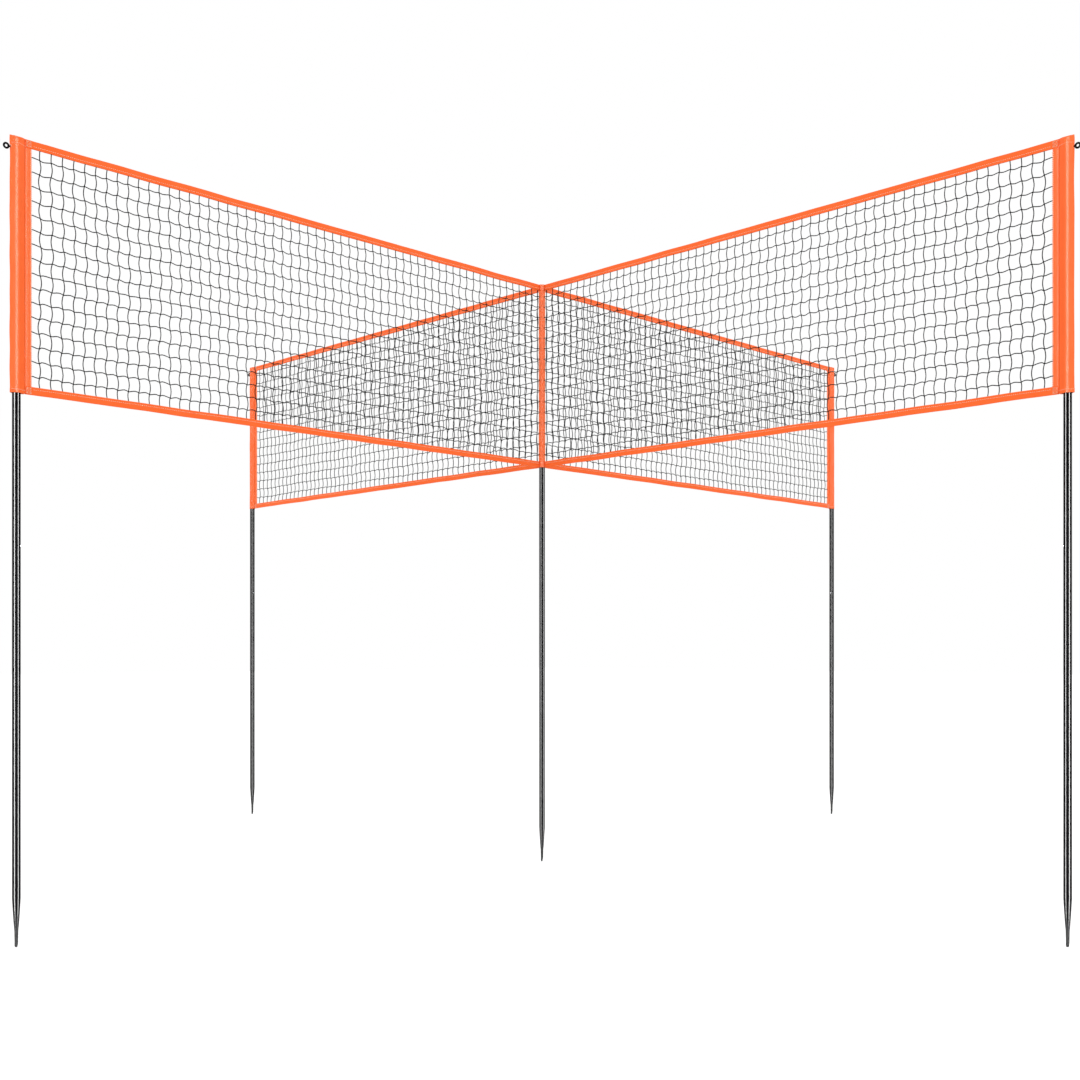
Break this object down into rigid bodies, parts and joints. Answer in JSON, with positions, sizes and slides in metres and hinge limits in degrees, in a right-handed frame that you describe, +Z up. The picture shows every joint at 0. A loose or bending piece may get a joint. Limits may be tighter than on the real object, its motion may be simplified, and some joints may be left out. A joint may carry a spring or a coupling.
{
  "type": "volleyball net",
  "caption": "Cross-shaped volleyball net with orange tapes and pole sleeves, on black spiked steel poles that telescope and lock with snap buttons.",
  "frame": {"origin": "on the ground under the centre pole, at the spikes' tips", "axes": "+Z up along the centre pole; the four panels run along +X (east), +Y (north), -X (west) and -Y (south)"},
  "size_m": [4.0726, 4.0726, 2.18],
  "materials": {
    "pole_paint": "glossy black powder coat",
    "upper_tube_paint": "glossy black powder coat",
    "button_steel": "zinc-plated steel",
    "spring_steel": "blued spring steel",
    "cap_plastic": "moulded black plastic",
    "eye_steel": "black nickel plating",
    "nut_steel": "zinc-plated steel",
    "sleeve_fabric": "coated orange polyester, sewn",
    "band_fabric": "orange webbing, box stitched",
    "tape_fabric": "coated orange polyester, folded and sewn",
    "netting_cord": "knotted dark grey polyethylene cord"
  },
  "bodies": {
    "ground_poles": {"ground_section_east": "pole_paint", "ground_section_north": "pole_paint", "ground_section_west": "pole_paint", "ground_section_south": "pole_paint", "ground_section_centre": "pole_paint", "middle_section_east": "pole_paint", "middle_section_north": "pole_paint", "middle_section_west": "pole_paint", "middle_section_south": "pole_paint", "middle_section_centre": "pole_paint"},
    "net_and_upper_tubes": {"upper_tube_east": "upper_tube_paint", "upper_tube_north": "upper_tube_paint", "upper_tube_west": "upper_tube_paint", "upper_tube_south": "upper_tube_paint", "upper_tube_centre": "upper_tube_paint", "snap_spring_east": "spring_steel", "snap_spring_north": "spring_steel", "snap_spring_west": "spring_steel", "snap_spring_south": "spring_steel", "snap_spring_centre": "spring_steel", "pole_cap_east": "cap_plastic", "pole_cap_north": "cap_plastic", "pole_cap_west": "cap_plastic", "pole_cap_south": "cap_plastic", "pole_cap_centre": "cap_plastic", "guy_eye_east": "eye_steel", "guy_eye_north": "eye_steel", "guy_eye_west": "eye_steel", "guy_eye_south": "eye_steel", "eye_nuts": "nut_steel", "sleeve_east": "sleeve_fabric", "sleeve_north": "sleeve_fabric", "sleeve_west": "sleeve_fabric", "sleeve_south": "sleeve_fabric", "sleeve_centre": "sleeve_fabric", "centre_band_top": "band_fabric", "centre_band_bottom": "band_fabric", "top_tape_east": "tape_fabric", "top_tape_north": "tape_fabric", "top_tape_west": "tape_fabric", "top_tape_south": "tape_fabric", "bottom_tape_east": "tape_fabric", "bottom_tape_north": "tape_fabric", "bottom_tape_west": "tape_fabric", "bottom_tape_south": "tape_fabric", "netting_east": "netting_cord", "netting_north": "netting_cord", "netting_west": "netting_cord", "netting_south": "netting_cord"},
    "button_east": {"snap_button_east": "button_steel"},
    "button_north": {"snap_button_north": "button_steel"},
    "button_west": {"snap_button_west": "button_steel"},
    "button_south": {"snap_button_south": "button_steel"},
    "button_centre": {"snap_button_centre": "button_steel"}
  },
  "joints": [
    {"name": "net_height", "type": "slide", "parent": "ground_poles", "child": "net_and_upper_tubes", "axis": [0, 0, 1], "range_m": [0, 0.36]},
    {"name": "button_press_east", "type": "slide", "parent": "net_and_upper_tubes", "child": "button_east", "axis": [1, 0, 0], "range_m": [0, 0.004], "stiffness_N_per_m": 1500, "springref_m": -0.003, "deforming": ["snap_spring_east"]},
    {"name": "button_press_north", "type": "slide", "parent": "net_and_upper_tubes", "child": "button_north", "axis": [0, 1, 0], "range_m": [0, 0.004], "stiffness_N_per_m": 1500, "springref_m": -0.003, "deforming": ["snap_spring_north"]},
    {"name": "button_press_west", "type": "slide", "parent": "net_and_upper_tubes", "child": "button_west", "axis": [-1, 0, 0], "range_m": [0, 0.004], "stiffness_N_per_m": 1500, "springref_m": -0.003, "deforming": ["snap_spring_west"]},
    {"name": "button_press_south", "type": "slide", "parent": "net_and_upper_tubes", "child": "button_south", "axis": [0, -1, 0], "range_m": [0, 0.004], "stiffness_N_per_m": 1500, "springref_m": -0.003, "deforming": ["snap_spring_south"]},
    {"name": "button_press_centre", "type": "slide", "parent": "net_and_upper_tubes", "child": "button_centre", "axis": [-1, 0, 0], "range_m": [0, 0.004], "stiffness_N_per_m": 1500, "springref_m": -0.003, "deforming": ["snap_spring_centre"]}
  ]
}
